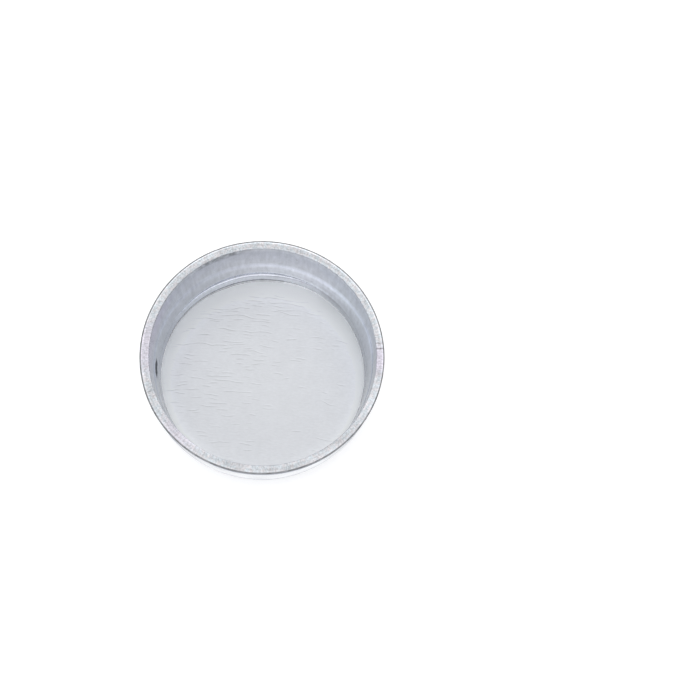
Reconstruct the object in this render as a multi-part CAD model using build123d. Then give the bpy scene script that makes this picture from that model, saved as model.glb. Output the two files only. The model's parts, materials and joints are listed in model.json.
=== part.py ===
from build123d import *
from math import acos, cos, degrees, pi, sin, sqrt
import os

# A round bezel cup: one thin metal shell with an open mouth, a straight inner wall, a flat floor
# and a rounded base corner. It holds a round flat-backed stone, and its rim is bent over the edge
# of that stone. It is drawn from sheet, which leaves the wall thinner than the floor.
# Frame: the origin is the centre of the base's underside, +Z is the cup's own axis and points out
# of the mouth. Lengths are in millimetres.

# The stone and its seat
stone_diameter = 10.0
seat_clearance = 0.05          # gap all round between the stone and the wall
seat_depth = 3.5               # from the rim down to the floor

# The metal
wall = 0.37                    # at the rim
floor_thickness = 0.55
corner_share = 0.72            # metal left in the base corner, against its thinner neighbour

# Where the outside curves in towards the base
shoulder_radius = 6.0          # the long gentle curve at the foot of the outer wall
shoulder_draw_in = 0.18        # how far that curve has come in where the tight corner starts

# Edges and the inner corner
floor_corner_radius = 0.25     # inside, between the wall and the floor
rim_outer_round = 0.06
rim_inner_round = 0.04

inner_radius = stone_diameter / 2 + seat_clearance
outer_radius = inner_radius + wall
height = floor_thickness + seat_depth
shoulder_turn = acos(1 - shoulder_draw_in / shoulder_radius)


def base_corner_radius():
    """The largest outer corner that leaves enough metal round the inner one.

    The corner's arc starts where the shoulder ends and runs out level in the base. The metal
    between it and the inner corner is thinnest on the line through the two arcs' centres, and
    setting that thickness gives a quadratic in the radius.
    """
    wall_foot = wall - shoulder_draw_in
    thinnest = corner_share * min(wall_foot, floor_thickness)
    reach = floor_corner_radius + thinnest
    across = -(floor_corner_radius + wall_foot)
    up = floor_thickness + floor_corner_radius
    lean = cos(shoulder_turn)
    half_linear = across * lean - up + reach
    constant = across**2 + up**2 - reach**2
    return (sqrt(half_linear**2 - lean**2 * constant) - half_linear) / lean**2


def cup_section():
    """Half of the cup's section, in the XZ plane, from the axis out to the wall and back."""
    corner = base_corner_radius()
    shoulder_top = corner + (shoulder_radius - corner) * sin(shoulder_turn)
    turn = degrees(shoulder_turn)
    with BuildSketch(Plane.XZ) as section:
        with BuildLine():
            outside = Line((outer_radius, height - rim_outer_round), (outer_radius, shoulder_top))
            shoulder = JernArc(outside @ 1, (0, -1), shoulder_radius, -turn)
            base_corner = JernArc(shoulder @ 1, shoulder % 1, corner, turn - 90)
            Line(base_corner @ 1, (0, 0))
            Line((0, 0), (0, floor_thickness))
            floor = Line((0, floor_thickness), (inner_radius - floor_corner_radius, floor_thickness))
            inner_corner = JernArc(floor @ 1, (1, 0), floor_corner_radius, 90)
            inside = Line(inner_corner @ 1, (inner_radius, height - rim_inner_round))
            inner_edge = JernArc(inside @ 1, (0, 1), rim_inner_round, -90)
            rim = Line(inner_edge @ 1, (outer_radius - rim_outer_round, height))
            JernArc(rim @ 1, (1, 0), rim_outer_round, -90)
        make_face()
    return section.sketch


def bezel_cup():
    """The whole cup: its section turned once round the axis."""
    return revolve(cup_section(), Axis.Z, 360)


parts = {"bezel_cup": bezel_cup()}

os.makedirs("parts", exist_ok=True)
for name, shape in parts.items():
    export_step(shape, f"parts/{name}.step")

cup_volume = parts["bezel_cup"].volume
stone_room = pi * inner_radius**2 * seat_depth
print(f"outer diameter {2 * outer_radius:.2f} mm, height {height:.2f} mm")
print(f"base corner radius {base_corner_radius():.3f} mm")
print(f"metal {cup_volume:.2f} cubic mm, room for the stone about {stone_room:.0f} cubic mm")
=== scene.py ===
# %% [markdown]
# A round bezel cup, the small silver dish that a jeweller solders to a ring or pendant and then bends
# over the edge of a stone. It is about 11 mm across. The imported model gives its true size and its
# mounts, so the first step is to load it. The rest of this lesson gives that plain metal the marks of
# how it was made: sheet rolled in a mill, drawn into a cup, trimmed at the rim and tumbled bright.

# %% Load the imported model
import bpy
import json
import math
import numpy as np
from mathutils import Matrix, Vector


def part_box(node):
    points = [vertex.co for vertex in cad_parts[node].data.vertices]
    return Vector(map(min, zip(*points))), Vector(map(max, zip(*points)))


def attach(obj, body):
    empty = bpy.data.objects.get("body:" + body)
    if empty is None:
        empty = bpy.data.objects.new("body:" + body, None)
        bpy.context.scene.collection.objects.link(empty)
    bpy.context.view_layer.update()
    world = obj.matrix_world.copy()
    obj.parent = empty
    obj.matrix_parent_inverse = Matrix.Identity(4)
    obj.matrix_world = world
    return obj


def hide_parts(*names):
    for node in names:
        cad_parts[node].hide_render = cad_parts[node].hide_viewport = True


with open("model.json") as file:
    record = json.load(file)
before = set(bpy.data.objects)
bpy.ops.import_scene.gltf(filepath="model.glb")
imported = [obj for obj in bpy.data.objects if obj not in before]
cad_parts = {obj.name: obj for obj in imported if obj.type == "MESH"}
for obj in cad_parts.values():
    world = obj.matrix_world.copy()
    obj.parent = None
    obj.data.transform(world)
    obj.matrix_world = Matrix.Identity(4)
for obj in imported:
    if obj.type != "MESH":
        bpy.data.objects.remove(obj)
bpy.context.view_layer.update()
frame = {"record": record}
cup_low, cup_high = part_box("bezel_cup")
print("the cup's box in mm:", [round(1000 * x, 2) for x in (*cup_low, *cup_high)])

# %% [markdown]
# The sizes come from two places. The box of the loaded cup gives the outside, and the record's stone
# seat gives the inside of the wall. The others are what a toolmaker would write on the drawing of the
# punch and die: how thick the floor is, the curves between the wall and the base, and how far the inner
# wall leans in towards its foot. Each has a name, so that every later step can use it.

# %% Sizes of the cup, in metres
MM = 0.001
seat = next(m for m in frame["record"]["mounts"] if m["name"] == "stone_seat")
outer_radius = (cup_high.x - cup_low.x) / 2
inner_radius = seat["dims"]["r_mm"] * MM
height = cup_high.z
floor_height = 0.55 * MM
floor_corner = 0.035 * MM
shoulder_radius = 6.0 * MM
shoulder_draw_in = 0.18 * MM
base_corner = 1.157 * MM
outer_edge_round = 0.06 * MM
inner_edge_round = 0.04 * MM
wall_taper = 0.045 * MM
print(f"wall {(outer_radius - inner_radius) / MM:.2f} mm, height {height / MM:.2f} mm")

# %% [markdown]
# A deep cup is drawn in more than one stroke of the press, and the strokes leave traces inside it. Half
# way up is a ring, where the wall steps in by a few hundredths of a millimetre. Low on the wall is a
# narrow ledge, and where the wall meets the floor there is a crease. They could be painted on a smooth
# wall, but as real steps they mirror the light as such steps do.

# %% Traces of the press, in metres
draw_ring_height = 2.16 * MM
draw_step = 0.035 * MM
draw_step_height = 0.46 * MM
ledge_top = 1.2 * MM
ledge_width = 0.1 * MM
crease_width = 0.04 * MM
crease_depth = 0.012 * MM
print(f"draw ring {draw_ring_height / MM:.2f} mm up, ledge {ledge_top / MM:.2f} mm up")

# %% [markdown]
# The camera looks down into the cup, 17 degrees off its axis, from so near that the rim looks clearly
# wider than the floor. Measured on the picture, it stands about six radii from the rim. It first points
# at the middle of the mouth and then turns to the right and a hair up, which puts the cup left of the
# middle of the frame. Turning it is better than shifting the lens, because the other views stay centred.

# %% Camera
CAMERA_DISTANCE = 5.75 * outer_radius
OFF_AXIS = math.radians(16.85)
TURN_RIGHT = math.radians(7.01)
TURN_UP = math.radians(0.124)
LENS_MM = 35.72
SENSOR_MM = 36

camera_data = bpy.data.cameras.new("camera")
camera_data.sensor_width = SENSOR_MM
camera_data.lens = LENS_MM
camera_data.clip_start = 1 * MM
camera_data.clip_end = 2000 * MM
camera = bpy.data.objects.new("camera", camera_data)
bpy.context.scene.collection.objects.link(camera)
look_down = Matrix.Rotation(OFF_AXIS, 4, "X")
turned = look_down @ Matrix.Rotation(-TURN_RIGHT, 4, "Y") @ Matrix.Rotation(TURN_UP, 4, "X")
mouth = Vector((0, 0, height))
camera.matrix_world = Matrix.Translation(mouth + look_down @ Vector((0, 0, CAMERA_DISTANCE))) @ turned
bpy.context.scene.camera = camera
print(f"camera {CAMERA_DISTANCE / MM:.1f} mm from the mouth")

# %% [markdown]
# The cup is turned round one axis, so its shape is a section swept round in a circle, as on a lathe. The
# section is a row of short stretches, arcs and runs, and these helpers give their points. A modifier
# could sweep the section too, but points in a list let every stretch have its own wear.

# %% Points along one stretch of the section
def arc(centre, radius, start, end, count):
    """Points on an arc about a centre, with angles in radians from the outward direction."""
    return [(centre[0] + radius * math.cos(a), centre[1] + radius * math.sin(a))
            for a in np.linspace(start, end, count)]


def steady(t):
    return t


def s_curve(t):
    """Starts slowly and ends slowly, as a smooth step does."""
    return t * t * (3 - 2 * t)


def slowing(t):
    """Starts at once and runs out level."""
    return math.sin(math.pi / 2 * t)


def run(start, end, count, across=steady, up=steady):
    """Points from start to end. A plain run is straight, and the two functions can bend it."""
    return [(start[0] + (end[0] - start[0]) * across(t), start[1] + (end[1] - start[1]) * up(t))
            for t in np.linspace(0, 1, count)]


# %% [markdown]
# The outside starts in the middle of the base, turns the tight base corner, runs up the long shoulder
# and the straight wall, and goes over the rim. The two curves touch without a kink, because the corner's
# centre lies on the line from the shoulder's centre to the point where they meet. Each stretch has the
# name of its band and the number of points it gets, more where it bends more.

# %% The section's outside
QUARTER = math.pi / 2
shoulder_turn = math.acos(1 - shoulder_draw_in / shoulder_radius)
outer_edge = (outer_radius - outer_edge_round, height - outer_edge_round)
inner_edge = (inner_radius + inner_edge_round, height - inner_edge_round)


def outside_bands():
    """From the middle of the base up the outside and over the rim."""
    apart = shoulder_radius - base_corner
    shoulder_centre = (outer_radius - shoulder_radius, base_corner + apart * math.sin(shoulder_turn))
    corner_centre = (shoulder_centre[0] + apart * math.cos(shoulder_turn), base_corner)
    return [
        ("base", run((0.0, 0.0), (corner_centre[0], 0.0), 9)),
        ("base corner", arc(corner_centre, base_corner, -QUARTER, -shoulder_turn, 14)),
        ("shoulder", arc(shoulder_centre, shoulder_radius, -shoulder_turn, 0, 8)),
        ("outer wall", run((outer_radius, shoulder_centre[1]), (outer_radius, outer_edge[1]), 7)),
        ("outer edge", arc(outer_edge, outer_edge_round, 0, QUARTER, 5)),
        ("rim", run((outer_edge[0], height), (inner_edge[0], height), 8)),
        ("inner edge", arc(inner_edge, inner_edge_round, QUARTER, 2 * QUARTER, 5)),
    ]


print(f"the shoulder turns through {math.degrees(shoulder_turn):.1f} degrees")

# %% [markdown]
# The inside goes from the rim down the leaning wall, through the draw ring and over the ledge, into the
# crease and then level to the middle of the floor. Next to a sharp edge lies one more ring, a hundredth
# of a millimetre away. Without it the smooth shading would smear the edge over the whole wall.

# %% The section's inside
RIM_FADE = 0.12 * MM        # how far down the wall the rim's raggedness fades out
EDGE_SUPPORT = 0.012 * MM   # from a sharp edge to the ring that keeps it sharp


def tapered(z):
    """The radius of the inner wall at a height, from the stone's seat down."""
    return inner_radius - wall_taper * (height - z) / (height - floor_height)


over_ledge = (tapered(ledge_top) - draw_step, ledge_top)
under_ledge = (over_ledge[0] - ledge_width, ledge_top - ledge_width)


def inside_bands():
    """From the rim down the inner wall and over the ledge to the middle of the floor."""
    wall_top = (inner_radius, inner_edge[1])
    below_rim = (inner_radius, inner_edge[1] - RIM_FADE)
    step_top = draw_ring_height + draw_step_height / 2
    step_foot = draw_ring_height - draw_step_height / 2
    ring_top = (tapered(step_top), step_top)
    ring_foot = (tapered(step_foot) - draw_step, step_foot)
    crease_floor = floor_height - crease_depth
    corner = (under_ledge[0] - floor_corner, crease_floor + floor_corner)
    floor_edge = corner[0] - crease_width
    return [
        ("inner wall", run(wall_top, below_rim, 2)),
        ("inner wall", run(below_rim, ring_top, 7)),
        ("draw ring", run(ring_top, ring_foot, 9, across=s_curve)),
        ("inner wall", run(ring_foot, (over_ledge[0], ledge_top + EDGE_SUPPORT), 7)),
        ("ledge", run(over_ledge, under_ledge, 5)),
        ("foot", run((under_ledge[0], under_ledge[1] - EDGE_SUPPORT), (under_ledge[0], corner[1]), 4)),
        ("inner corner", arc(corner, floor_corner, 0, -QUARTER, 7)),
        ("crease", run((corner[0], crease_floor), (floor_edge, floor_height), 5, up=slowing)),
        ("floor", run((floor_edge - EDGE_SUPPORT, floor_height), (0.0, floor_height), 15)),
    ]


def rings_of(bands):
    """One list of rings (radius, height, band), without the points that two bands share."""
    same_place = 1e-9
    found = []
    for band, points in bands:
        for r, z in points:
            if not found or math.dist(found[-1][:2], (r, z)) > same_place:
                found.append((r, z, band))
    return found


rings = rings_of(outside_bands() + inside_bands())
print(len(rings), "rings in the section")

# %% [markdown]
# Real drawn metal is never perfectly round or level. A few low waves run round the wall, and the rim is
# uneven, ragged at its edges and notched by the cutter that trimmed it. These are small moves of the
# points themselves, so they show in the outline and in every reflection. All the random numbers come
# from one seeded source, so the cup is the same every time.

# %% Waves and notches round the cup
SEGMENTS = 1200
angles = np.linspace(0, 2 * math.pi, SEGMENTS, endpoint=False)
rightward = np.cos(angles)
farward = np.sin(angles)
luck = np.random.default_rng(12)


def waves(lowest, highest, size):
    """A smooth closed wave round the cup: many whole-number waves, each with its own phase."""
    total = np.zeros(SEGMENTS)
    for number in range(lowest, highest):
        phase = luck.uniform(0, 2 * math.pi)
        total += luck.normal() * np.cos(number * angles + phase) / math.sqrt(highest - lowest)
    return size * total


def notches(count, widest, deepest):
    """Fine cutter marks across the rim: how far down each angle of it is cut."""
    cut = np.zeros(SEGMENTS)
    for _ in range(count):
        middle = luck.uniform(0, 2 * math.pi)
        half_width = luck.uniform(0.3, 1.0) * widest / outer_radius
        away = np.abs((angles - middle + math.pi) % (2 * math.pi) - math.pi)
        cut += luck.uniform(0.2, 1.0) * deepest * np.exp(-(away / half_width) ** 2)
    return cut


rougher_far = np.clip(0.75 + 0.4 * farward, 0.4, 1.1)
wall_waves = waves(2, 14, 0.003 * MM)
rim_level = waves(2, 60, 0.004 * MM)
outer_raggedness = waves(30, 260, 0.003 * MM)
inner_raggedness = waves(30, 260, 0.006 * MM) * rougher_far
rim_cuts = notches(420, widest=0.03 * MM, deepest=0.009 * MM)
print(f"deepest cut in the rim {rim_cuts.max() / MM:.3f} mm")

# %% [markdown]
# Some marks differ from side to side. The cutter pushed the rim's inner edge in on the left and far
# sides, the draw ring climbs at the right and a little at the left, and the ledge runs along the far side
# alone. Each of these is a list with one number for every angle, so it fades in and out smoothly.

# %% What differs from side to side
LIP = 0.03 * MM
RISE_RIGHT_MM = 0.9
RISE_LEFT_MM = 0.35
LEDGE_DEGREES = [0, 54, 84, 114, 128, 150, 360]
LEDGE_SHARES = [0, 0, 1, 1, 0.5, 0, 0]
LEAST_LEDGE = 0.02

lip = LIP * np.clip(0.5 - 0.5 * rightward + 0.5 * farward, 0, 1)
right_rise = RISE_RIGHT_MM * np.abs(rightward) ** 5
left_rise = RISE_LEFT_MM * rightward ** 2
ring_rise_mm = np.where(rightward > 0, right_rise, left_rise)
ledge_here = np.maximum(np.interp(np.degrees(angles), LEDGE_DEGREES, LEDGE_SHARES), LEAST_LEDGE)
print(f"the ledge is full over {360 * np.mean(ledge_here == 1):.0f} degrees")

# %% [markdown]
# The marks now go onto the rings. A ring starts as a perfect circle, and each mark moves some of its
# points in, out, up or down by hundredths of a millimetre. Noise in a modifier could roughen the whole
# cup at once, but a real press and cutter leave different marks on the wall, the rim and the corner.

# %% Marks of making on one ring
SHARPEST_CORNER = 0.2


def trimmed(r, radius, level):
    """The cutter's marks: ragged edges, the lip, and notches that are deepest half way across."""
    across = np.clip((r - inner_radius) / (outer_radius - inner_radius), 0, 1)
    radius = radius + (1 - across) * (inner_raggedness - lip) - across * np.abs(outer_raggedness)
    level = level - np.abs(rim_level) - rim_cuts * (0.4 + 0.6 * math.sin(math.pi * across))
    return radius, level


def climbing(z, level):
    """The wall lifted along with the draw ring, less and less towards the wall's two ends."""
    wall_end = height - inner_edge_round if z > draw_ring_height else ledge_top + EDGE_SUPPORT
    near_ring = 1 - abs(z - draw_ring_height) / abs(wall_end - draw_ring_height)
    return level + ring_rise_mm * MM * max(near_ring, 0)


def fading_ledge(r, z, band, radius, level):
    """The ledge and the corner under it, which shrink away from the far side."""
    gone = 1 - ledge_here
    if band in ("inner corner", "crease"):
        size = SHARPEST_CORNER + (1 - SHARPEST_CORNER) * ledge_here
        radius = under_ledge[0] - (under_ledge[0] - radius) * size
        level = floor_height + (level - floor_height) * size
    radius = radius + gone * ledge_width * min((over_ledge[0] - r) / ledge_width, 1)
    if band in ("ledge", "foot"):
        down_ledge = min((ledge_top - z) / ledge_width, 1)
        up_foot = min((z - floor_height) / (under_ledge[1] - floor_height), 1)
        level = level + gone * ledge_width * down_ledge * up_foot
    return radius, level


def worn(r, z, band):
    """The radius and height of every point of one ring, once the marks of making are on it."""
    radius = np.full(SEGMENTS, r)
    level = np.full(SEGMENTS, z)
    if band in ("outer edge", "rim", "inner edge"):
        radius, level = trimmed(r, radius, level)
    if band in ("outer wall", "inner wall", "draw ring"):
        radius = radius - np.abs(wall_waves) * (z - floor_height) / (height - floor_height)
    if band in ("inner wall", "draw ring"):
        level = climbing(z, level)
    if band in ("ledge", "foot", "inner corner", "crease"):
        radius, level = fading_ledge(r, z, band, radius, level)
    return radius, level


# %% [markdown]
# Now the rings are joined into a skin of faces. The worn bands need 1200 points in a ring, and the smooth
# ones half of that. Near the middle of the floor and of the base the rings get small, and full circles
# would only make slivers, so there the number halves once or twice more. Between a ring and one with
# half its points, every stretch gets one triangle and one four-sided face.

# %% Faces between two rings
SMOOTH_BANDS = ("base", "base corner", "shoulder", "outer wall", "floor")
CLOSEST_POINTS = 0.015 * MM


def points_in(r, band):
    """How many points a ring has, so that they don't crowd. The middle is a single point."""
    if r == 0:
        return 1
    count = SEGMENTS // 2 if band in SMOOTH_BANDS else SEGMENTS
    while 2 * math.pi * r / count < CLOSEST_POINTS:
        count //= 2
    return count


def join_rings(first, second):
    """Faces between two rings that have as many points, or where one has half of the other's."""
    a, b = len(first), len(second)
    if a == 1:
        return [(first[0], second[(i + 1) % b], second[i]) for i in range(b)]
    if b == 1:
        return [(first[i], first[(i + 1) % a], second[0]) for i in range(a)]
    if a == b:
        return [(first[i], first[(i + 1) % a], second[(i + 1) % a], second[i]) for i in range(a)]
    joined = []
    for i in range(min(a, b)):
        if a > b:
            one, two, three = first[2 * i], first[2 * i + 1], first[(2 * i + 2) % a]
            joined.append((one, two, second[i]))
            joined.append((two, three, second[(i + 1) % b], second[i]))
        else:
            one, two, three = second[2 * i], second[2 * i + 1], second[(2 * i + 2) % b]
            joined.append((first[i], two, one))
            joined.append((first[i], first[(i + 1) % a], three, two))
    return joined


# %% [markdown]
# The finish changes from band to band, so each face gets the number of its finish as it is made. The
# whole cup stays one mesh, as the real one is one piece of metal, and no seam can open between bands.

# %% Skin of the cup
BANDS_OF_FINISH = {
    "outside": ("base", "base corner", "shoulder", "outer wall"),
    "edge": ("outer edge",),
    "rim": ("rim", "inner edge"),
    "inside": ("inner wall", "draw ring", "ledge", "foot", "inner corner", "crease"),
    "floor": ("floor",),
}
FINISH_NUMBER = {band: number for number, bands in enumerate(BANDS_OF_FINISH.values()) for band in bands}


def skin_of(section):
    """The points and faces of the cup, and the number of each face's finish."""
    points, faces, finishes = [], [], []
    previous = None
    for r, z, band in section:
        count = points_in(r, band)
        ring = range(len(points), len(points) + count)
        radius, level = worn(r, z, band)
        for i in range(0, SEGMENTS, SEGMENTS // count):
            points.append((radius[i] * rightward[i], radius[i] * farward[i], level[i]))
        if previous is not None:
            made = join_rings(previous, ring)
            faces += made
            finishes += [FINISH_NUMBER[band]] * len(made)
        previous = ring
    return points, faces, finishes


points, faces, finishes = skin_of(rings)
cup_mesh = bpy.data.meshes.new("bezel_cup_metal")
cup_mesh.from_pydata(points, [], faces)
cup_mesh.polygons.foreach_set("material_index", finishes)
cup_mesh.polygons.foreach_set("use_smooth", [True] * len(faces))
cup_mesh.update()
cup = bpy.data.objects.new("bezel_cup_metal", cup_mesh)
bpy.context.scene.collection.objects.link(cup)
print(len(points), "points,", len(faces), "faces")

# %% [markdown]
# Silver has hardly any colour of its own, and most of what shows is what it mirrors. What tells the bands
# of a real cup apart is how rough and how clean each one is. So every finish below starts from one metal
# and adds its own marks, as small bumps and as small changes of roughness and shade. Nodes can be placed
# by hand in the shader editor, but a helper that adds one keeps a long tree short enough to read. A node
# goes into the tree of whatever is linked to it, so the tree is named only where a chain begins.

# %% One metal to start from
SILVER = (0.647, 0.661, 0.696)


def feed(value, socket):
    """Gives an input its value: a plain one, or another node's output, which is linked to it."""
    if isinstance(value, bpy.types.NodeSocket):
        socket.id_data.links.new(value, socket)
    else:
        socket.default_value = value


def node(kind, inputs=None, tree=None, **settings):
    """Adds one shader node, to the tree that its linked inputs come from if no tree is given."""
    inputs = inputs or {}
    if tree is None:
        tree = next(value.id_data for value in inputs.values() if isinstance(value, bpy.types.NodeSocket))
    made = tree.nodes.new("ShaderNode" + kind)
    for name, value in settings.items():
        setattr(made, name, value)
    for name, value in inputs.items():
        feed(value, made.inputs[name])
    return made


def scaled(vector, factor):
    """A vector or colour with all its parts times a factor."""
    return node("VectorMath", {0: vector, "Scale": factor}, operation="SCALE").outputs["Vector"]


def place_in_mm(tree):
    """The place on the object, in millimetres instead of metres."""
    return scaled(node("TexCoord", tree=tree).outputs["Object"], 1 / MM)


def metal(name):
    """A new metal material, its shader and the place on the object."""
    material = bpy.data.materials.new(name)
    material.use_nodes = True
    tree = material.node_tree
    shader = tree.nodes["Principled BSDF"]
    shader.inputs["Metallic"].default_value = 1
    shader.inputs["Base Color"].default_value = (*SILVER, 1)
    return material, shader, place_in_mm(tree)


# %% [markdown]
# A mark is a number for every place on the metal: 0 where it isn't and 1 where it is full. Marks are
# made, cut short and added up by arithmetic. The most useful step maps one stretch of numbers onto
# another and holds the ends, as a slope between two flats does.

# %% Arithmetic with nodes
def calc(operation, *values):
    """One step of arithmetic on plain values or outputs."""
    return node("Math", dict(enumerate(values)), operation=operation).outputs[0]


def chained(operation, values):
    """The same step on one value after another."""
    total = values[0]
    for value in values[1:]:
        total = calc(operation, total, value)
    return total


def sum_of(*values):
    return chained("ADD", values)


def product(*values):
    return chained("MULTIPLY", values)


def greatest(*values):
    return chained("MAXIMUM", values)


def spread(value, low, high, to_low, to_high):
    """Maps the stretch from low to high of a value onto another one, and holds it at the ends."""
    settings = {"Value": value, "From Min": low, "From Max": high, "To Min": to_low, "To Max": to_high}
    return node("MapRange", settings).outputs["Result"]


def rise_and_fall(value, start, full, fading, end):
    """0 up to the start, 1 from full to fading, and 0 again from the end on."""
    return product(spread(value, start, full, 0.0, 1.0), spread(value, fading, end, 1.0, 0.0))


def blend(factor, first, second):
    """Goes from the first colour to the second as the factor goes from 0 to 1."""
    mix = node("Mix", {"Factor": factor}, data_type="RGBA")
    for name, colour in (("A", first), ("B", second)):
        if isinstance(colour, tuple):
            colour = (*colour, 1)
        feed(colour, next(i for i in mix.inputs if i.name == name and i.type == "RGBA"))
    return next(o for o in mix.outputs if o.type == "RGBA")


# %% [markdown]
# Marks also need a place. Round this cup a place is easiest to give by its direction in degrees, with 0
# at the right, 90 at the far side and 180 at the left, and by its height in millimetres. Noise gives
# the irregular part, and if the place is squeezed one way first, the noise is pulled out that way.

# %% Places and patterns on the metal
inner_mm = inner_radius / MM
outer_mm = outer_radius / MM


def at(x, y, z=0.0):
    """A place put together from its parts."""
    return node("CombineXYZ", {"X": x, "Y": y, "Z": z}).outputs["Vector"]


def parts_of(place):
    """A place taken apart into X, Y and Z."""
    return node("SeparateXYZ", {"Vector": place}).outputs


def vector_calc(operation, *vectors):
    """One step of arithmetic on vectors that gives a vector."""
    return node("VectorMath", dict(enumerate(vectors)), operation=operation).outputs["Vector"]


def length_of(vector):
    return node("VectorMath", {0: vector}, operation="LENGTH").outputs["Value"]


def toward(azimuth, elevation=0.0):
    """The direction that an azimuth and elevation in degrees point to."""
    azimuth, elevation = math.radians(azimuth), math.radians(elevation)
    return (math.cos(elevation) * math.cos(azimuth), math.cos(elevation) * math.sin(azimuth),
            math.sin(elevation))


def part_along(place, direction):
    """How far a place lies along a direction."""
    return node("VectorMath", {0: place, 1: direction}, operation="DOT_PRODUCT").outputs["Value"]


def facing(place, azimuth):
    """How far a place lies towards one side of the cup."""
    return part_along(place, toward(azimuth))


def grain(place, scale, detail):
    """Noise from 0 to 1. A larger scale is finer, and more detail adds smaller grains to it."""
    return node("TexNoise", {"Vector": place, "Scale": scale, "Detail": detail}).outputs["Fac"]


# %% [markdown]
# A finished mark reaches the metal in one of two ways. As a shade it makes the metal's colour lighter or
# darker, as dirt and polish do, and on this cup it also carries painted light and shade. As a bump it
# tilts the light, as a scratch does, without more points in the mesh. Deep marks use both.

# %% How marks reach the metal
def tinted(shader, shade, colour=SILVER):
    """The metal's colour, made lighter or darker by a factor."""
    feed(scaled(colour, shade), shader.inputs["Base Color"])


def bumped(shader, raised_mm):
    """Marks in the surface: how many millimetres each place stands up, as a bump."""
    bump = node("Bump", {"Height": raised_mm, "Distance": MM, "Strength": 1.0})
    feed(bump.outputs["Normal"], shader.inputs["Normal"])


# %% [markdown]
# The floor is the sheet as the rolling mill left it. The rolls leave thin marks that all run one way, a
# little wavy, each a millimetre or so long. The floor is cut into lanes along the rolling direction, and
# every lane has one line that wanders in it. A slow noise along the lane, different in each, decides
# where its line shows. Each mark is a dark scratch, bumped and painted darker, with a painted highlight
# beside it on its burr.

# %% Rolling marks
ROLLING_DEGREES = -6
LANES_PER_MM = 5.4
MOST_MARKED = (-0.72, 0.7, 0)


def rolling_marks(place, along, across):
    """How full the dark scratch and the painted highlight on its burr are at each place."""
    slow = grain(at(product(along, 0.5), across), 0.7, 1.0)
    quick = grain(at(product(along, 1.3), across), 1.3, 1.0)
    bow = product(along, along, 0.013)
    wavering = sum_of(product(slow, 0.4), product(quick, 0.13), bow)
    lanes = product(sum_of(across, wavering), LANES_PER_MM)
    lane = calc("FLOOR", lanes)
    wander = grain(at(product(along, 0.8), product(lane, 3.7)), 1.0, 0.0)
    line = spread(wander, 0.35, 0.65, 0.2, 0.7)
    off_line = calc("SUBTRACT", calc("FRACT", lanes), line)
    off_burr = calc("SUBTRACT", off_line, 0.24)
    dark = spread(calc("ABSOLUTE", off_line), 0.0, 0.16, 1.0, 0.0)
    light = spread(calc("ABSOLUTE", off_burr), 0.0, 0.2, 1.0, 0.0)
    lengths = grain(at(product(along, 1.4), product(lane, 5.3)), 1.0, 0.0)
    clusters = product(calc("SUBTRACT", grain(place, 0.55, 1.0), 0.5), 0.35)
    marked = part_along(place, MOST_MARKED)
    rarity = sum_of(spread(marked, -3.0, 3.2, 0.66, 0.47), clusters)
    shows = spread(calc("SUBTRACT", lengths, rarity), 0.0, 0.12, 0.0, 1.0)
    return product(dark, shows), product(light, shows)


# %% [markdown]
# Between the marks the sheet is matt, so it spreads the light. Towards the wall it is painted brighter
# and less blue. The brightening is painted light, which lifts the floor's edge where the wall shades it.
# It starts sooner on the far side, and only the last bit follows the wall all round. Powers of the
# distance do this, because a high power stays near nothing until just before the edge.

# %% Rolled floor
MID_SILVER = (0.650, 0.665, 0.693)
EDGE_SILVER = (0.665, 0.676, 0.690)
FLOOR_SHADE = 0.88
FLOOR_BRIGHTEST = 1.48
FLOOR_RADIUS_MM = 4.9
LIGHT_AND_TINT_OFFSET_MM = -0.72


def share_out(place, y_mm):
    """How far a place on the floor is from a middle, as a share of the floor's radius."""
    away = vector_calc("SUBTRACT", place, (0.0, y_mm, floor_height / MM))
    return calc("DIVIDE", length_of(away), FLOOR_RADIUS_MM)


def rolled_sheet():
    material, shader, place = metal("rolled_sheet")
    along = facing(place, ROLLING_DEGREES)
    across = facing(place, ROLLING_DEGREES + 90)
    dark, light = rolling_marks(place, along, across)
    cloud = grain(place, 1.6, 4.0)
    fine = grain(at(product(along, 0.3), across), 14.0, 2.0)
    grit = grain(place, 7.0, 2.0)
    out = share_out(place, LIGHT_AND_TINT_OFFSET_MM)
    # Painted light: the floor is made brighter towards the wall, to lift the edge that the wall shades.
    painted_floor_light = sum_of(1.0, product(calc("POWER", out, 3.0), 0.33),
                   product(calc("POWER", out, 12.0), 0.3),
                   product(calc("POWER", share_out(place, 0.0), 14.0), 0.2))
    darkness = spread(part_along(place, MOST_MARKED), -1.0, 3.0, -0.18, -0.26)
    # The light line beside each scratch is a painted highlight.
    marks = sum_of(FLOOR_SHADE, product(cloud, 0.09), product(fine, 0.13),
                   product(grit, 0.06), product(dark, darkness), product(light, 0.09))
    colour = blend(spread(out, 0.6, 1.2, 0.0, 1.0), MID_SILVER, EDGE_SILVER)
    tinted(shader, calc("MINIMUM", product(marks, painted_floor_light), FLOOR_BRIGHTEST), colour)
    shader.inputs["Roughness"].default_value = 0.5
    bumped(shader, sum_of(product(dark, -0.0012), product(fine, 0.001)))
    return material


# %% [markdown]
# The wall was pulled over a punch, which burnishes it and leaves faint lines up and down. Their pattern
# follows the angle round the axis and hardly changes with height, so the lines run straight up the wall
# with no seam. Stains, scratches and patches of painted light and shade that sit in one place are soft
# oval patches.

# %% Patterns on the drawn walls
def round_the_cup(place, up):
    """A place that changes with the angle round the axis, in millimetres, and slowly with height."""
    parts = parts_of(place)
    outward = vector_calc("NORMALIZE", at(parts["X"], parts["Y"]))
    rise = at(0.0, 0.0, product(parts["Z"], up))
    return vector_calc("ADD", scaled(outward, outer_mm), rise)


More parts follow.
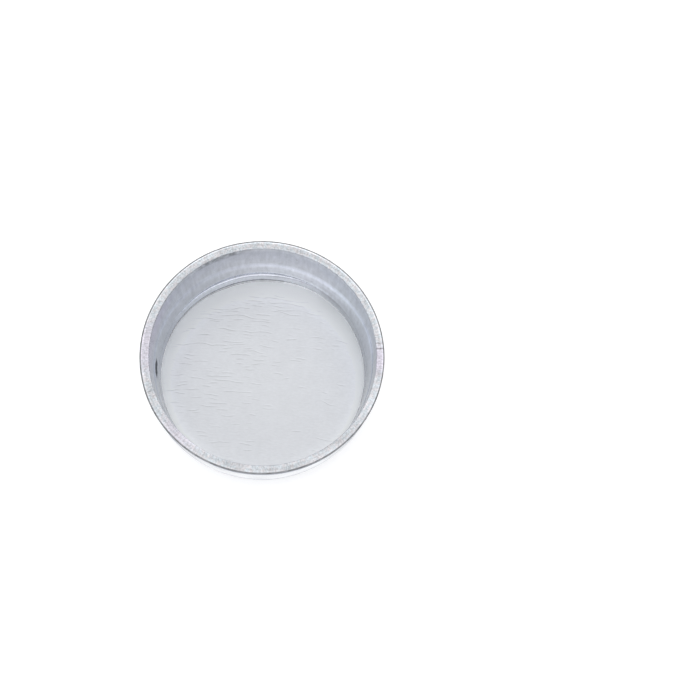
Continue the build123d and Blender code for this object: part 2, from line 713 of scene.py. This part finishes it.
def patch(place, degrees, up_mm, half_width, half_height):
    """A soft oval patch on the wall: 1 in its middle, 0 outside it. Sizes are in millimetres."""
    x, y, _ = toward(degrees)
    away = vector_calc("SUBTRACT", place, (x * inner_mm, y * inner_mm, up_mm))
    shape = (1 / half_width, 1 / half_width, 1 / half_height)
    return spread(length_of(vector_calc("MULTIPLY", away, shape)), 0.35, 1.0, 1.0, 0.0)


def lit_band(level, centre, half_height):
    """1 at a height on the wall, fading to 0 at half_height above and below it."""
    away = calc("ABSOLUTE", calc("SUBTRACT", level, centre))
    return spread(away, 0.0, half_height, 1.0, 0.0)


# %% [markdown]
# The draw ring and the ledge mirror more light than the wall round them, most of all on the far side.
# Their small steps alone mirror too little light to show that, so that light is painted on as well, along
# the same heights that the mesh has. The crease at the wall's foot is painted lighter than its real shade
# would leave it, and a little darker towards the ledge, and a strip of painted light runs low on the
# left.

# %% Painted light on the ring and the ledge
def ring_height(x):
    """The height of the draw ring in millimetres, which climbs at the right and at the left."""
    sideways = calc("DIVIDE", x, inner_mm)
    right = calc("POWER", calc("MAXIMUM", sideways, 0.0), 5.0)
    left = calc("POWER", calc("MINIMUM", sideways, 0.0), 2.0)
    return sum_of(draw_ring_height / MM, product(right, RISE_RIGHT_MM), product(left, RISE_LEFT_MM))


def painted_ring_light(place, parts):
    """Painted light on the draw ring and on the wall just under it."""
    ring = ring_height(parts["X"])
    under = calc("SUBTRACT", ring, 0.38)
    brightest_side = facing(place, 58)
    on_ring = spread(brightest_side, 2.0, 4.89, 0.1, 0.32)
    under_ring = spread(brightest_side, 3.99, 4.79, 0.02, 0.13)
    return sum_of(product(lit_band(parts["Z"], ring, 0.28), on_ring),
                  product(lit_band(parts["Z"], under, 0.36), under_ring))


def painted_ledge_light(place, parts):
    """Painted light on the ledge and on strips over it and at the left, and painted light and shade in
    the crease at the wall's foot.
    """
    ledge_side = facing(place, 118)
    on_ledge = product(spread(parts["Z"], 1.04, 1.1, 0.35, 1.0),
                       spread(parts["Z"], 1.22, 1.4, 1.0, 0.0),
                       spread(ledge_side, 3.9, 4.8, -0.06, 0.42))
    above = product(rise_and_fall(parts["Z"], 1.17, 1.2, 1.3, 1.5),
                    spread(facing(place, 66), 4.0, 4.85, 0.0, 0.32))
    left_strip = product(rise_and_fall(parts["Z"], 0.62, 0.68, 0.95, 1.1),
                         spread(parts["X"], -4.6, -2.5, 0.1, 0.0))
    crease = product(spread(parts["Z"], 0.57, 0.6, 1.0, 0.0),
                     spread(ledge_side, 3.0, 4.25, 0.34, -0.05))
    return sum_of(on_ledge, above, left_strip, crease)


# %% [markdown]
# The rest of the wall isn't even either. A few patches are painted lighter and darker, as the wall's
# reflections are there. The near sides and the low right are painted darker, and the low far wall
# lighter. A jagged patch of painted shade lies just under the rim. The list below has one line for each,
# which is easier to read and to change than one formula for all.

# %% Shade of the rest of the wall
WALL_SHADE = 0.4675
# Each painted patch: its direction, its height, half its width and height in mm, and how much lighter it
# is.
WALL_PATCHES = [
    (185, 0.95, 0.6, 0.35, 0.1),
    (46, 1.15, 1.3, 0.35, -0.18),
    (9, 3.0, 0.8, 0.6, 0.1),
    (70, 0.8, 1.9, 0.6, 0.1),
]


def wall_shade(place, parts, lines):
    """How light the inner wall is: its lines, with painted light and shade on patches, sides, the ring
    and the ledge.
    """
    patches = [product(patch(place, *oval), lighter) for *oval, lighter in WALL_PATCHES]
    low = spread(parts["Z"], 1.5, 2.1, 1.0, 0.0)
    jagged = spread(grain(place, 4.5, 4.0), 0.36, 0.6, -0.08, -0.48)
    return sum_of(WALL_SHADE, product(lines, 0.4), product(grain(place, 4.0, 3.0), 0.16),
                  painted_ring_light(place, parts), painted_ledge_light(place, parts), *patches,
                  # Painted shade low on the right and on both near sides, painted light low on the far
                  # side, and painted shade in a jagged patch under the rim.
                  product(low, spread(parts["X"], 2.02, 4.545, 0.0, -0.07)),
                  product(low, spread(parts["Y"], 3.6, 5.0, 0.0, 0.05)),
                  spread(facing(place, -22), 4.2, 4.95, 0.0, -0.06),
                  spread(facing(place, 207), 4.2, 4.95, 0.0, -0.05),
                  product(patch(place, 114, 3.84, 1.6, 0.34), jagged))


# %% [markdown]
# The wall's colour changes from side to side: it is painted a little bluer at the left and right than at
# the far and near sides, a painted tint of what the wall mirrors there. Handled silver also takes a
# breath of colour of its own: lavender high up at the left, greener in clouds. The colours lie over each
# other as thin coats do, and each coat has its own share at each place.

# %% Colour of the inner wall
SIDE_BLUE = (0.600, 0.650, 0.772)
FAR_BLUE = (0.643, 0.658, 0.725)
NEAR_BLUE = (0.636, 0.654, 0.706)
GREEN_BLUE = (0.606, 0.650, 0.718)
LAVENDER = (0.650, 0.636, 0.790)


def wall_colour(place, parts):
    """The wall's colour, built up in coats from its sides to its foot."""
    coats = [
        # The first two coats, set by far and near, are painted reflection tint.
        (spread(parts["Y"], 0.0, 5.0, 0.0, 1.0), FAR_BLUE),
        (spread(parts["Y"], -3.6, -0.8, 1.0, 0.0), NEAR_BLUE),
        (spread(grain(place, 0.35, 1.0), 0.4, 0.6, 0.5, 0.0), GREEN_BLUE),
        (patch(place, 172, 3.7, 2.6, 1.2), LAVENDER),
        (spread(parts["Z"], 0.58, 0.68, 0.8, 0.0), EDGE_SILVER),
    ]
    colour = SIDE_BLUE
    for share, coat in coats:
        colour = blend(share, colour, coat)
    return colour


# %% [markdown]
# The wall's finish puts these together. It adds one dark stain on the left, a speck of dried polish. That
# isn't metal, so there the finish turns dull and dark and stops mirroring. The specular tint dims the
# white glint that metal has where it is seen almost edge on, as much of this wall is.

# %% Burnished inside
WALL_ROUGHNESS = 0.12
STAIN_ROUGHNESS = 0.9
STAIN_DARKNESS = 0.2


def burnished_inside():
    material, shader, place = metal("burnished_inside")
    parts = parts_of(place)
    lines = grain(round_the_cup(place, 0.25), 6.0, 4.0)
    shade = wall_shade(place, parts, lines)
    ragged = product(grain(place, 3.5, 3.0), 1.2)
    smudge = patch(place, 182.5, 2.0, 0.7, 0.44)
    stain = spread(sum_of(smudge, ragged), 0.85, 1.5, 0.0, 1.0)
    stained = spread(stain, 0.0, 1.0, 1.0, STAIN_DARKNESS)
    tinted(shader, product(shade, stained), wall_colour(place, parts))
    feed(spread(stain, 0.0, 1.0, 1.0, 0.0), shader.inputs["Metallic"])
    feed(spread(stain, 0.0, 1.0, WALL_ROUGHNESS, STAIN_ROUGHNESS), shader.inputs["Roughness"])
    shader.inputs["Specular Tint"].default_value = (0.8, 0.8, 0.8, 1)
    bumped(shader, product(lines, 0.002))
    return material


# %% [markdown]
# The outside was tumbled with steel shot, which leaves it bright and faintly dimpled over the lines of
# the die. On the right the cup has rubbed against something, and that patch is full of dark specks. A
# noise with its middle values pushed apart gives specks, and the patch keeps them in one place.

# %% Tumbled outside
OUTSIDE_BLUE = (0.638, 0.660, 0.708)
OUTSIDE_SHADE = 0.97


def tumbled_outside():
    material, shader, place = metal("tumbled_outside")
    lines = grain(round_the_cup(place, 0.25), 7.0, 4.0)
    dimples = grain(place, 9.0, 2.0)
    rub = patch(place, 1, 2.8, 0.6, 1.5)
    specks = spread(grain(place, 8.0, 3.0), 0.44, 0.56, 1.0, 0.0)
    shade = sum_of(OUTSIDE_SHADE, product(lines, 0.06), product(rub, -0.1),
                   product(rub, specks, -0.38))
    tinted(shader, shade, OUTSIDE_BLUE)
    feed(spread(grain(place, 0.8, 2.0), 0.35, 0.65, 0.13, 0.19), shader.inputs["Roughness"])
    bumped(shader, sum_of(product(lines, 0.0018), product(dimples, 0.001)))
    return material


# %% [markdown]
# The rim was cut square and never polished. Close up it is a row of scratches, most of them straight
# across and some along it. They need a pattern with its own rate round the rim and across it, so the
# place is put together from the angle and the distance from the axis. Three nicks go right across.

# %% Scratches and nicks of the cut rim
# Each nick: its direction, half its width in mm, and its depth of shade.
NICKS = [(1.6, 0.045, 1.0), (4.4, 0.04, 0.6), (200, 0.045, 0.4)]


def from_axis(place):
    """The distance of a place from the cup's axis."""
    parts = parts_of(place)
    return length_of(at(parts["X"], parts["Y"]))


def rim_place(place, round_rate, across_rate):
    """A place that changes by one rate round the rim and by another from its inner edge out."""
    round_part = scaled(round_the_cup(place, 0.0), round_rate)
    across_part = at(0.0, 0.0, product(from_axis(place), across_rate))
    return vector_calc("ADD", round_part, across_part)


def nick(place, degrees, half_width, depth):
    """A dark cut right across the rim, at one angle."""
    sideways = calc("ABSOLUTE", facing(place, degrees + 90))
    this_side = calc("GREATER_THAN", facing(place, degrees), 0.0)
    return product(spread(sideways, 0.3 * half_width, half_width, -depth, 0.0), this_side)


# %% [markdown]
# A white line of painted highlight runs near the rim's outer edge, strongest on the far side, with a
# painted shadow of the burr outside it, and the inner edge is painted paler at the far left. The rim is
# also painted darker on the far side and lighter on the right. The cut metal is a mix of a cool and a
# warm grey, and in three places fingers have left it faintly pink. All of these only change the shade and
# the colour, and the scratches are bumps as well.

# %% Cut rim
COOL = (0.620, 0.663, 0.705)
WARM = (0.672, 0.662, 0.685)
PINK = (0.686, 0.655, 0.742)
# Each pink place: its direction, half its width in mm, and how strong it is.
PINK_PLACES = [(178, 1.5, 0.75), (-4, 0.9, 1.0), (225, 1.2, 0.6)]
WHOLE_HEIGHT_MM = 9.0


def painted_rim_light_and_shade(place, far_side):
    """Painted light and shade: a white highlight near the outer edge, the burr's shadow outside it, and a
    paler inner edge.
    """
    radius = from_axis(place)
    white = product(spread(radius, outer_mm - 0.15, outer_mm - 0.1, 0.0, 1.0),
                    spread(far_side, 0.0, 1.0, 0.2, 0.85))
    shadow = product(spread(radius, outer_mm - 0.085, outer_mm - 0.07, 0.0, 1.0),
                     spread(far_side, 0.2, 1.0, 0.0, -1.6))
    inner = product(spread(radius, inner_mm - 0.01, inner_mm + 0.04, 0.25, 0.0),
                    spread(facing(place, 122), 4.6, 4.9, 1.0, 0.0))
    return sum_of(white, shadow, inner)


def rim_colour(place):
    """Cool and warm grey in small grains, with the pink places over them."""
    pinks = [product(patch(place, degrees, height / MM, half_width, WHOLE_HEIGHT_MM), strength)
             for degrees, half_width, strength in PINK_PLACES]
    warm = spread(grain(place, 6.0, 2.0), 0.4, 0.6, 0.0, 1.0)
    return blend(greatest(*pinks), blend(warm, COOL, WARM), PINK)


def cut_rim():
    material, shader, place = metal("cut_rim")
    parts = parts_of(place)
    wide = grain(round_the_cup(place, 0.0), 1.1, 2.0)
    strokes = grain(rim_place(place, 1.0, 0.5), 14.0, 3.0)
    arcs = grain(rim_place(place, 0.35, 7.0), 1.6, 2.0)
    grit = grain(place, 16.0, 2.0)
    far_side = spread(parts["Y"], -3.12, 5.2, 0.0, 1.0)
    light = sum_of(product(wide, 0.6), product(strokes, 1.3), product(arcs, 1.1),
                   # Painted shade on the far side and painted light on the right.
                   product(grit, 1.4), product(far_side, -0.16),
                   painted_rim_light_and_shade(place, far_side), spread(parts["X"], 2.0, 5.0, 0.0, 0.1),
                   *[nick(place, *cut) for cut in NICKS])
    tinted(shader, spread(light, 1.0, 3.4, 0.28, 1.5), rim_colour(place))
    shader.inputs["Roughness"].default_value = 0.35
    bumped(shader, sum_of(product(strokes, 0.02), product(grit, 0.006)))
    return material


# %% [markdown]
# Outside the rim runs a thin dark line, a dull dark finish painted on the rounded outer edge in place of
# the dark reflection that this edge shows. It is broken, darker in some places than in others, and
# painted palest on the near side. It has its own finish on the rounded outer edge, because a line that
# thin would blur if it were painted on the wall.

# %% Painted dark edge line
def painted_dark_edge():
    material, shader, place = metal("painted_dark_edge")
    broken = grain(round_the_cup(place, 0.0), 3.0, 3.0)
    # The dark line is painted shade that stands for the edge's dark reflection, lighter on the near side.
    shade = sum_of(spread(broken, 0.35, 0.65, 0.14, 0.36),
                   spread(facing(place, 239.5), -5.07, 5.07, 0.0, 0.02),
                   spread(parts_of(place)["Y"], -5.0, -1.5, 0.1, 0.0))
    tinted(shader, shade)
    shader.inputs["Metallic"].default_value = 0.2
    shader.inputs["Roughness"].default_value = 0.75
    return material


# %% [markdown]
# The five finishes go onto the cup in the order of their numbers on the faces. Then the cup rides on the
# one body that there is and stands for the plain solid, which stays for the physics and is hidden here.

# %% Finishes on the cup
for finish in (tumbled_outside(), painted_dark_edge(), cut_rim(), burnished_inside(), rolled_sheet()):
    cup_mesh.materials.append(finish)
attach(cup, "root")
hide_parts("bezel_cup")
print("finishes:", [m.name for m in cup_mesh.materials])

# %% [markdown]
# Bright metal shows its surroundings more than itself, so the studio is built as what the cup mirrors.
# Round the sides stand soft white panels, with grey gaps between them that are a little blue, as a room
# by daylight is. The wall mirrors them as upright light and dark bands, and they are what makes it look
# like metal and not like white plastic.

# %% What stands round the cup
# Each panel, in degrees: its direction, half its width and how soft its edge is. Then its brightness.
PANELS = [(51, 35, 4, 1.42), (-41, 25, 8, 1.14), (-98, 10, 4, 1.0), (180, 24, 8, 1.3)]
GAP = 0.56
GAP_BLUE = (0.96, 0.99, 1.09)
WHITE = (1, 1, 1)


def panels_round(way):
    """How bright the surroundings are in a level direction, going by the panel that stands there."""
    parts = parts_of(way)
    level = vector_calc("NORMALIZE", at(parts["X"], parts["Y"]))
    lit = [GAP]
    for azimuth, half_width, softness, brightness in PANELS:
        outside = math.cos(math.radians(half_width + softness))
        inside = math.cos(math.radians(half_width - softness))
        lit.append(spread(facing(level, azimuth), outside, inside, GAP, brightness))
    return greatest(*lit)


def gap_tint(brightness):
    """White where the surroundings are bright, a little blue where they are dim."""
    return blend(spread(brightness, GAP, 1.0, 0.0, 1.0), GAP_BLUE, WHITE)


# %% [markdown]
# The cup stands on a plain pale floor, wide enough that its edge never shows. To the camera it is white
# paper. In the metal it is as dim as the room, because a real photograph is exposed so that the paper
# goes pure white while the metal keeps its greys. A dark ring on it and a bright strip close in front of
# the cup are what the curved base mirrors as a dark band with a light one under it.

# %% Paper of the studio floor
PAPER_WHITE = (0.93, 0.93, 0.93)
PAPER_GLOW = 0.2
STRIP_BRIGHTNESS = 1.2


def mirrored_floor(tree):
    """How bright the floor is in the metal. Distances from the cup's axis are in millimetres."""
    place = place_in_mm(tree)
    radius = length_of(place)
    beyond = spread(radius, 7.5, 7.9, 0.0, 1.0)
    under_panels = sum_of(product(panels_round(place), beyond),
                          product(calc("SUBTRACT", 1.0, beyond), GAP))
    dark_ring = product(rise_and_fall(radius, 7.1, 7.3, 7.8, 8.0),
                        spread(facing(place, 40), -2.0, 6.0, -0.15, -0.55))
    strip = product(rise_and_fall(radius, 5.35, 5.65, 5.9, 6.1),
                    spread(facing(place, -90), 2.4, 4.8, 0.0, STRIP_BRIGHTNESS - GAP))
    return sum_of(under_panels, dark_ring, strip)


def paper_floor():
    paper = bpy.data.materials.new("pale_paper")
    paper.use_nodes = True
    tree = paper.node_tree
    shader = tree.nodes["Principled BSDF"]
    shader.inputs["Base Color"].default_value = (*PAPER_WHITE, 1)
    shader.inputs["Roughness"].default_value = 1
    shader.inputs["Emission Color"].default_value = (*WHITE, 1)
    shader.inputs["Emission Strength"].default_value = PAPER_GLOW
    seen = mirrored_floor(tree)
    mirrored = node("Emission", {"Color": gap_tint(seen), "Strength": seen})
    glossy = node("LightPath", tree=tree).outputs["Is Glossy Ray"]
    both = node("MixShader", {0: glossy, 1: shader.outputs["BSDF"], 2: mirrored.outputs[0]})
    feed(both.outputs[0], tree.nodes["Material Output"].inputs["Surface"])
    return paper


# %% [markdown]
# The floor itself is one flat disc with its middle under the cup. It is not part of the object.

# %% Studio floor
STUDIO_RADIUS = 0.4


def studio_floor():
    """A flat disc at the height of the cup's base."""
    mesh = bpy.data.meshes.new("studio_floor")
    edge = [(STUDIO_RADIUS * math.cos(a), STUDIO_RADIUS * math.sin(a), 0) for a in angles[::20]]
    mesh.from_pydata(edge, [], [tuple(range(len(edge)))])
    mesh.materials.append(paper_floor())
    floor = bpy.data.objects.new("studio_floor", mesh)
    bpy.context.scene.collection.objects.link(floor)


studio_floor()
print(f"studio floor {2 * STUDIO_RADIUS:.1f} m across")

# %% [markdown]
# Above the panels hangs a white tent, as over small silver in a real studio. It is nearly even, so the
# rim and the floor of the cup look flat and pale, and the inner wall, which mirrors that floor, looks one
# step darker. Two brighter patches in front and a fainter one on the far side lift the floor next to the
# wall. The tent is the world's own background, which lights the cup from all sides with no lamp at all.

# %% Light tent
TENT = 1.03
TENT_STARTS, TENT_FULL = 8, 20
# Each patch, in degrees: its azimuth and elevation, then how far out it stays full and where it ends.
FRONT_PATCHES = [(-155, 40, 18, 26), (-103, 40, 18, 26)]
FAR_PATCH = (90, 52, 12, 30)


def bright_patch(way, azimuth, elevation, core, edge):
    """1 within the core angle of a direction, fading to 0 at the edge angle."""
    near = part_along(way, toward(azimuth, elevation))
    return spread(near, math.cos(math.radians(edge)), math.cos(math.radians(core)), 0.0, 1.0)


def tent_brightness(tree):
    """How bright each direction is: the panels low down, and the tent above them."""
    way = node("TexCoord", tree=tree).outputs["Generated"]
    front = greatest(*[bright_patch(way, *spot) for spot in FRONT_PATCHES])
    far = bright_patch(way, *FAR_PATCH)
    tent = sum_of(TENT, product(front, 0.54), product(far, 0.4))
    low, high = math.sin(math.radians(TENT_STARTS)), math.sin(math.radians(TENT_FULL))
    high_up = spread(parts_of(way)["Z"], low, high, 0.0, 1.0)
    return sum_of(product(tent, high_up),
                  product(panels_round(way), calc("SUBTRACT", 1.0, high_up)))


def light_tent():
    """The tent for the metal and the floor, and plain white for the camera."""
    world = bpy.data.worlds.new("light_tent")
    bpy.context.scene.world = world
    world.use_nodes = True
    tree = world.node_tree
    tree.nodes.clear()
    around = tent_brightness(tree)
    light = node("Background", {"Color": gap_tint(around), "Strength": around})
    plain = node("Background", {"Color": (*WHITE, 1), "Strength": 1.0}, tree)
    seen = node("LightPath", tree=tree).outputs["Is Camera Ray"]
    mix = node("MixShader", {0: seen, 1: light.outputs[0], 2: plain.outputs[0]})
    feed(mix.outputs[0], node("OutputWorld", tree=tree).inputs["Surface"])


light_tent()
print("tent brightness", TENT, "with", len(PANELS), "panels under it")

# %% [markdown]
# The last setting is for the whole picture. The Standard view shows every brightness as it was worked
# out, so white paper comes out white, where other views bend bright tones towards grey, as film does.

# %% The view, and the end
bpy.context.scene.view_settings.view_transform = "Standard"
